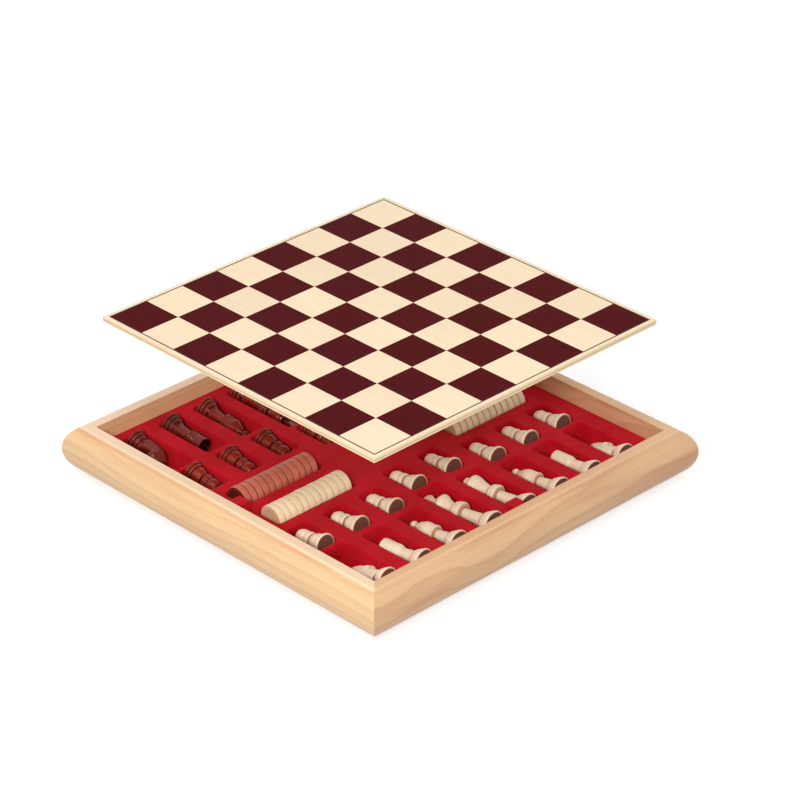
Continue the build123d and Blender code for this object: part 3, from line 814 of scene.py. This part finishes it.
LOCK_SLANT = 0.75
LOCK_DEPTH = 0.75
LOCK_FADE = 1.2
MOUTH_FROM = 0.45  # share of the base's radius
MOUTH_MIDDLE = (0.7, 0.585)  # shares of the base's radius and of the height
MOUTH_SLOPE = 0.10
MOUTH_HALF = 0.5  # half its width, millimetres
MOUTH_DEPTH = 0.7


def turned(foot, rest, base, height, wave=None):
    """A man's turned body with the recess in its base, and the felt in it as material 1."""
    radius = base / 2
    inside = radius - FELT_INSET
    recess = [(0.0, FELT_RECESS), (inside, FELT_RECESS), (inside, RIM_LIFT)]
    ends = [(inside + RIM_INSIDE, 0.0, 0), (radius - RIM_OUTSIDE, RIM_LIFT, 0)]
    ends += [(radius - inset, up, bulge) for inset, up, bulge in foot]
    ends += [(across * radius, up * height, bulge * radius) for across, up, bulge in rest]
    shape = bmesh.new()
    lathe(shape, eased(recess + outline(ends)), 0, wave)
    edge = inside - FELT_PLAY
    slant, rise = FELT_EDGE
    pad = [(0.0, FELT_SUNK), (edge - slant, FELT_SUNK), (edge, FELT_SUNK + rise)]
    lathe(shape, pad + [(edge, FELT_RECESS), (0.0, FELT_RECESS)], 1)
    return shape


def king(base, height):
    """The king, with a flared cross on its crown."""
    shape = turned(FOOT, KING, base, height)
    half = [(CROSS[0][0], CROSS_FOOT * height)]
    half += [(out, height - under) for out, under in CROSS]
    whole = half + [(-x, z) for x, z in reversed(half)]
    slab(shape, whole, CROSS_THICKNESS, CROSS_ROUNDING)
    return made("king", shape)


def queen(base, height):
    """The queen. The rim of the crown is lightly scalloped."""

    def scallop(up, angle):
        near = max(0.0, 1.0 - abs(up - BRIM * height) / (BRIM_REACH * height))
        return SCALLOP_DEPTH * near * cos(SCALLOPS * angle)

    return made("queen", turned(FOOT, QUEEN, base, height, scallop))


def bishop(base, height):
    """The bishop, with the saw cut in its mitre."""
    body = made("bishop", turned(FOOT, BISHOP, base, height))
    blade = bmesh.new()
    bmesh.ops.create_cube(blade, size=1.0)
    bmesh.ops.scale(blade, vec=(base / 2, base, SAW_CUT), verts=blade.verts)
    at = (
        Matrix.Translation((0, 0, SAW_AT * height))
        @ Matrix.Rotation(radians(-SAW_SLANT), 4, "Y")
        @ Matrix.Translation((base / 4 + SAW_STOP, 0, 0))
    )
    bmesh.ops.transform(blade, matrix=at, verts=blade.verts)
    return cut(body, made("blade", blade))


def rook(base, height):
    """The rook, a plain tower with a hollow top."""
    return made("rook", turned(FOOT, ROOK, base, height))


def pawn(base, height):
    """The pawn, whose foot ends a step lower."""
    return made("pawn", turned(PAWN_FOOT, PAWN, base, height))


def curve(ends, count):
    """Evenly many points on straight and bowed stretches, given as outline() wants them."""
    line = outline(ends)
    lengths = [0.0]
    for a, b in zip(line, line[1:]):
        lengths.append(lengths[-1] + hypot(b[0] - a[0], b[1] - a[1]))
    points = []
    at = 0
    for n in range(count):
        goal = lengths[-1] * n / (count - 1)
        while at < len(lengths) - 2 and lengths[at + 1] < goal:
            at += 1
        share = (goal - lengths[at]) / (lengths[at + 1] - lengths[at])
        points.append(Vector(line[at]).lerp(Vector(line[at + 1]), share))
    return points


def horse_relief(x, z, back, reach, height):
    """How much the carving takes off or leaves on the side of the horse's head.

    x and z are the place, back is how far it is from the mane's outline, reach is the base's
    radius, and height the knight's, all in millimetres.
    """
    relief = 0.0
    if z > MANE_FROM * height:
        if back < MANE_WIDTH:
            lock = (z + LOCK_SLANT * x) / LOCK_WIDTH
            strand = abs((lock % 1.0) - 0.5) * 2
            fade = min(1.0, (MANE_WIDTH - back) / LOCK_FADE)
            relief -= LOCK_DEPTH * (1 - strand) ** 2 * fade
        elif back < MANE_LINE:
            relief -= MANE_LINE_DEPTH
    for across, up, size, rise in CARVED:
        away = hypot(x - across * reach, z - up * height) / size
        relief += rise * max(0.0, 1 - away * away) ** 2
    middle, level = MOUTH_MIDDLE
    mouth = abs(z - (level * height - MOUTH_SLOPE * (x - middle * reach)))
    if x > MOUTH_FROM * reach and mouth < MOUTH_HALF:
        relief -= MOUTH_DEPTH * (1 - mouth / MOUTH_HALF)
    return relief


def narrowed(share, start, length, loss):
    """1 up to start, and from there evenly less, by loss over the length."""
    return 1 - loss * max(0.0, (share - start) / length)


def horse_half(at, share, width, reach, height):
    """Half the head's thickness at a place, which is a share of the width from its front."""
    rim = min(share, 1 - share) * width
    full = min(1.0, rim / HORSE_ROUNDING)
    ears = narrowed(at.y / height, start=0.62, length=0.38, loss=0.42)
    muzzle = narrowed(at.x / reach, start=0.2, length=0.6, loss=0.34)
    half = HORSE_THICKNESS / 2 * ears * muzzle
    half = half * (1 - (1 - full) ** HORSE_ROUNDNESS) ** 0.5
    if rim > HORSE_PLAIN:
        half += horse_relief(at.x, at.y, (1 - share) * width, reach, height) * full
    return max(half, 0.0)


def knight(base, height):
    """The knight: a carved horse's head on a turned foot. The nose points to +X."""
    shape = turned(FOOT, KNIGHT, base, height)
    reach = base / 2
    front, back = (
        curve([(across * reach, up * height, bulge) for across, up, bulge in ends], HORSE_LAYERS)
        for ends in (HORSE_FRONT, HORSE_BACK)
    )
    for end in (-1, 1):
        rows = []
        for a, b in zip(front, back):
            row = []
            for n in range(HORSE_ACROSS + 1):
                share = 0.5 - 0.5 * cos(pi * n / HORSE_ACROSS)
                at = a.lerp(b, share)
                half = horse_half(at, share, (b - a).length, reach, height)
                row.append(shape.verts.new((at.x, end * half, at.y)))
            rows.append(row)
        for low, high in zip(rows, rows[1:]):
            for n in range(HORSE_ACROSS):
                shape.faces.new((low[n], low[n + 1], high[n + 1], high[n]))
    bmesh.ops.remove_doubles(shape, verts=shape.verts, dist=WELD)
    return made("knight", shape, HORSE_SHARP)


class Kind:
    """A sort of chessman, and how it lies: its base and its head both touch the floor.

    height and base are in millimetres. rim_height and head_height, where the base and the head
    touch, are shares of the height, and head_radius is a share of the base's radius.
    """

    def __init__(self, maker, height, base, rim_height, head_radius, head_height):
        self.mesh = maker(base, height)
        self.base = base
        drop = base / 2 - head_radius * base / 2
        self.tilt = atan2(drop, (head_height - rim_height) * height)


KINDS = {
    "king": Kind(king, 77.0, 25.0, 0.020, 0.72, 0.745),
    "queen": Kind(queen, 71.0, 24.5, 0.022, 0.74, 0.850),
    "bishop": Kind(bishop, 56.5, 22.5, 0.028, 0.67, 0.640),
    "knight": Kind(knight, 43.0, KNIGHT_BASE, 0.050, EAR_SPAN / KNIGHT_BASE, 1.0),
    "rook": Kind(rook, 44.5, 22.0, 0.035, 0.67, 0.975),
    "pawn": Kind(pawn, 33.5, 20.5, 0.045, 0.65, 0.780),
}
BACK_RANK = ("knight", "rook", "bishop", "king", "queen", "bishop", "rook", "knight")
# How far a light man's head has swung toward -X in its pocket, degrees, from the left.
SWING = (0.5, 3.5, 0.5, 3.0, 3.0, 0.8, 1.0, -1.5)
SWING_MOST = 1.4  # how far any other man's has, to either side, degrees
FLAT_ROLL = 0.1  # how far a man with a flat head has rolled to either side, radians


# ==== Men and discs in their pockets =========================================================
def dressed(name, mesh, materials, node):
    """A piece that stands for a node and shows the given materials."""
    piece = bpy.data.objects.new(name, mesh)
    while len(mesh.materials) < len(materials):
        mesh.materials.append(None)
    bpy.context.scene.collection.objects.link(piece)
    for holder, material in zip(piece.material_slots, materials):
        holder.link = "OBJECT"
        holder.material = material
    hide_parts(node)
    return piece


def lay(node, kind, side, swing, roll):
    """Where an upright man lies in its pocket, worked out from the box of its node."""
    low, high = (Vector(corner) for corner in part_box(node))
    radius = kind.base / 2 * MM
    edge = radius * sin(kind.tilt)
    y = low.y + edge if side < 0 else high.y - edge
    at = Vector(((low.x + high.x) / 2, y, high.z - radius * cos(kind.tilt)))
    facing = 0.0 if side < 0 else pi
    return (
        Matrix.Translation(at)
        @ Matrix.Rotation(facing + radians(swing), 4, "Z")
        @ Matrix.Rotation(-pi / 2 - kind.tilt, 4, "X")
        @ Matrix.Rotation(roll, 4, "Z")
    )


def men(colour, side, wood, pad):
    """The sixteen men of one colour. side is the sign of their side in Y."""
    chance = random.Random(colour)
    for n, what in enumerate(BACK_RANK):
        where = "" if what in ("king", "queen") else "_left" if n < 4 else "_right"
        for name, kind in ((what + where, KINDS[what]), (f"pawn_{n + 1}", KINDS["pawn"])):
            node = f"{colour}_{name}"
            swing = chance.uniform(-SWING_MOST, SWING_MOST)
            if side < 0 and kind is KINDS[what]:
                swing = SWING[n]
            flat = kind is KINDS["knight"] or kind is KINDS["king"]
            roll = chance.uniform(-FLAT_ROLL, FLAT_ROLL) if flat else chance.uniform(0, 2 * pi)
            piece = dressed(f"{node}_turned", kind.mesh, (wood, pad), node)
            piece.matrix_world = lay(node, kind, side, swing, roll)
            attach(piece, node)


# A disc's flat side, from its middle out: radius, depth and bulge, in millimetres.
DISC_OUTLINE = [
    (0.0, 0.7, 0),
    (1.2, 0.7, 0),
    (1.6, 1.0, 0),
    (2.0, 0.7, 0),
    (8.1, 0.7, 0),
    (8.7, 0.0, 0.05),
    (9.9, 0.0, 0),
    (10.1, 0.2, 0),
    (10.3, 0.0, 0),
    (11.6, 0.0, 0),
    (12.5, 0.9, 0.26),
]
DISC_WIDER = (-0.008, 0.004)  # limits of how much wider than usual a disc is, as a share
DISC_THINNER = 0.03  # the most that one is thinner than usual
DISC_LEAN = 0.5  # the most that one leans or turns in a full row, degrees
DISC_LEAN_SPREAD = 3  # spread of a row in which they lean and turn twice as far
DISC_OFF = 0.15  # the most that one lies beside the middle, millimetres


def disc_mesh():
    """One turned disc, with its axis along Z and its middle at the origin."""
    half = [(r, z - DISC_THICKNESS / 2) for r, z in eased(outline(DISC_OUTLINE))]
    shape = bmesh.new()
    lathe(shape, half + [(r, -z) for r, z in reversed(half)])
    return made("disc", shape, DISC_SHARP)


def row(node, end, wood, disc, spread, yaw):
    """One row of discs on edge. No two are quite as wide, thick or upright.

    end is the sign of the row's side in X, from where it is filled. spread is how much air it
    has in all, in millimetres, and yaw how far the row is turned, in degrees.
    """
    chance = random.Random(node)
    low, high = (Vector(corner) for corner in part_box(node))
    middle = (low + high) / 2
    outer = high.x if end > 0 else -low.x
    step = DISC_THICKNESS + DISC_GAP + spread / (DISC_COUNT - 1)
    lean_most = DISC_LEAN * (1 + spread / DISC_LEAN_SPREAD)
    shape = bmesh.new()
    for n in range(DISC_COUNT):
        x = end * (outer / MM - DISC_THICKNESS / 2 - step * n)
        size = 1 + chance.uniform(*DISC_WIDER)
        thin = 1 - chance.uniform(0.0, DISC_THINNER)
        sunk = DISC_DIAMETER / 2 * (1 - size)
        lean = Matrix.Rotation(radians(chance.uniform(-lean_most, lean_most)), 4, "Y")
        turn = Matrix.Rotation(radians(chance.uniform(-lean_most, lean_most)), 4, "Z")
        roll = Matrix.Rotation(chance.uniform(0, 2 * pi), 4, "Z")
        off = (x - middle.x / MM, chance.uniform(-DISC_OFF, DISC_OFF), -sunk)
        at = Matrix.Translation(off) @ turn @ lean @ Matrix.Rotation(pi / 2, 4, "Y") @ roll
        known = len(shape.verts)
        shape.from_mesh(disc)
        shape.verts.ensure_lookup_table()
        new = shape.verts[known:]
        bmesh.ops.scale(shape, vec=(size / MM, size / MM, thin / MM), verts=new)
        bmesh.ops.transform(shape, matrix=at, verts=new)
    mesh = made(f"{node}_mesh", shape, DISC_SHARP)
    colour = node.split("_")[0]
    piece = dressed(f"{node}_turned", mesh, (wood,), node)
    piece.matrix_world = Matrix.Translation(middle) @ Matrix.Rotation(radians(yaw), 4, "Z")
    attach(piece, node)


def dress(name, material):
    """Shows a material on a CAD node as it is."""
    node = NODES[name]
    if not node.material_slots:
        node.data.materials.append(None)
    for slot in node.material_slots:
        slot.link = "OBJECT"
        slot.material = material


# ==== The case, its board and its pieces =====================================================
# In each set the fourth tone is the painted highlight along the rail's top.
HONEY = PineTones(
    pale=srgb(236, 198, 150),
    late=srgb(226, 178, 128),
    streak=srgb(226, 178, 136),
    land=srgb(253, 230, 200),
    seam=srgb(214, 148, 110),
)
TAN = PineTones(
    pale=srgb(220, 178, 134),
    late=srgb(204, 156, 112),
    streak=srgb(200, 142, 106),
    land=srgb(232, 192, 148),
    seam=srgb(196, 138, 98),
)
pines = {
    "rail_left": pine("pine_left", "Y", (175.0, -70.0), 8.0, 0.7, HONEY),
    "rail_front": pine("pine_front", "X", (150.0, -24.0), 12.0, 2.3, TAN),
    "rail_right": pine("pine_right", "Y", (120.0, 10.0), 10.0, 4.1, TAN),
    "rail_back": pine("pine_back", "X", (160.0, -60.0), 10.0, 5.9, HONEY),
}
red_flock = flock()
MAPLE = {"figure": 0.35, "pores": 0.04, "shine": 0.15}
light_veneer = veneer(
    "light_veneer", pale=srgb(250, 227, 194), dark=srgb(240, 208, 168), **MAPLE
)
pale_veneer = veneer(
    "pale_veneer", pale=srgb(249, 226, 194), dark=srgb(238, 208, 168), **MAPLE
)
dark_veneer = veneer(
    "dark_veneer",
    pale=srgb(84, 12, 16),
    dark=srgb(70, 8, 12),
    figure=0.6,
    pores=0.16,
    shine=0.02,
)
light_wood = turned_wood(
    "light_wood",
    pale=srgb(253, 238, 212),
    late=srgb(240, 214, 178),
    shadow=srgb(247, 222, 188),
    # painted shade in the grooves
    groove_shade=srgb(178, 112, 66),
    rough=0.44,
    shine=0.4,
    coat=0.12,
    coat_rough=0.35,
    spread=0.04,
)
dark_wood = turned_wood(
    "dark_wood",
    pale=srgb(156, 48, 34),
    late=srgb(98, 20, 15),
    shadow=srgb(60, 12, 10),
    # painted shade in the grooves, near black
    groove_shade=srgb(12, 1, 1),
    rough=0.28,
    shine=0.12,
    coat=0.3,
    coat_rough=0.06,
    spread=0.35,
)
light_disc = disc_wood(
    "light_disc",
    pale=srgb(252, 236, 196),
    late=srgb(236, 212, 164),
    face=srgb(230, 200, 154),
    rough=0.5,
    spread=0.05,
)
dark_disc = disc_wood(
    "dark_disc",
    pale=srgb(212, 120, 92),
    late=srgb(168, 70, 52),
    face=srgb(104, 30, 20),
    rough=0.45,
    spread=0.12,
)

for name in NODES:
    if name.startswith("rail_"):
        dress(name, pines[name])
    elif name.startswith("rest_"):
        dress(name, red_flock)
dress("panel", plies("plywood", PANEL_PLIES))
dress("tray", red_flock)
dress("board_core", plies("board_edge", BOARD_UNDERSIDE))
dress("board_border", pale_veneer)
dress("board_line", stringing())
dress("board_dark_squares", dark_veneer)
dress("board_light_squares", light_veneer)

pad = felt()
men("light", -1, light_wood, pad)
men("dark", 1, dark_wood, pad)
disc = disc_mesh()
row("light_discs_left", -1, light_disc, disc, spread=0.3, yaw=0.6)
row("light_discs_right", 1, light_disc, disc, spread=4.0, yaw=-0.3)
row("dark_discs_left", -1, dark_disc, disc, spread=0.5, yaw=0.8)
row("dark_discs_right", 1, dark_disc, disc, spread=3.0, yaw=0.2)


# ==== Floor, lights and camera ===============================================================
def shown(tree):
    """1 for what the camera sees, also mirrored or through something clear, and else 0."""
    rays = tree.nodes.new("ShaderNodeLightPath")
    seen = rays.outputs["Is Camera Ray"]
    for other in ("Is Glossy Ray", "Is Transmission Ray"):
        either = tree.nodes.new("ShaderNodeMath")
        either.operation = "MAXIMUM"
        tree.links.new(seen, either.inputs[0])
        tree.links.new(rays.outputs[other], either.inputs[1])
        seen = either.outputs[0]
    return seen


def backdrop():
    """A white floor that fades into the white world behind it and keeps the shadow."""
    m = Maker("floor")
    m.finish(srgb(188, 188, 188), 0.9)
    glow = m.add("ShaderNodeEmission")
    glow.inputs["Color"].default_value = WHITE
    m.feed(glow.inputs["Strength"], m.product(shown(m.tree), FLOOR_GLOW))
    both = m.add("ShaderNodeAddShader")
    m.feed(both.inputs[0], m.shader.outputs[0])
    m.feed(both.inputs[1], glow.outputs[0])
    m.feed(m.tree.nodes["Material Output"].inputs["Surface"], both.outputs[0])
    shape = bmesh.new()
    bmesh.ops.create_grid(shape, x_segments=8, y_segments=8, size=FLOOR_HALF)
    mesh = bpy.data.meshes.new("floor")
    shape.to_mesh(mesh)
    shape.free()
    floor = bpy.data.objects.new("floor", mesh)
    floor.location.z = -FLOOR_DROP
    mesh.materials.append(m.material)
    bpy.context.scene.collection.objects.link(floor)


def world():
    """White where it is seen, and a soft even fill where it only lights."""
    studio = bpy.data.worlds.new("studio")
    bpy.context.scene.world = studio
    studio.use_nodes = True
    tree = studio.node_tree
    fill = tree.nodes["Background"]
    white = tree.nodes.new("ShaderNodeBackground")
    both = tree.nodes.new("ShaderNodeMixShader")
    tree.links.new(shown(tree), both.inputs[0])
    for n, (light, strength) in enumerate(((fill, WORLD_FILL), (white, 1.0))):
        light.inputs["Color"].default_value = WHITE
        light.inputs["Strength"].default_value = strength
        tree.links.new(light.outputs[0], both.inputs[1 + n])
    tree.links.new(both.outputs[0], tree.nodes["World Output"].inputs[0])


def placed(name, data, at, facing):
    """A lamp or a camera at a place, turned to look along a direction."""
    holder = bpy.data.objects.new(name, data)
    holder.location = at
    holder.rotation_mode = "QUATERNION"
    holder.rotation_quaternion = facing.to_track_quat("-Z", "Y")
    bpy.context.scene.collection.objects.link(holder)
    return holder


def lamp(name, at, size, power):
    """A square lamp, turned toward the case."""
    data = bpy.data.lights.new(name, "AREA")
    data.shape = "SQUARE"
    data.size = size
    data.energy = power
    placed(name, data, at, LAMP_AIM - Vector(at))


def camera():
    """The camera, where the photograph's perspective puts it."""
    data = bpy.data.cameras.new("camera")
    data.sensor_width = SENSOR
    data.lens = LENS
    data.clip_start, data.clip_end = CLIP
    bpy.context.scene.camera = placed("camera", data, CAMERA_AT, -CAMERA_BACK)


backdrop()
world()
for name, setting in LAMPS.items():
    lamp(name, **setting)
camera()
bpy.context.scene.view_settings.view_transform = "Standard"
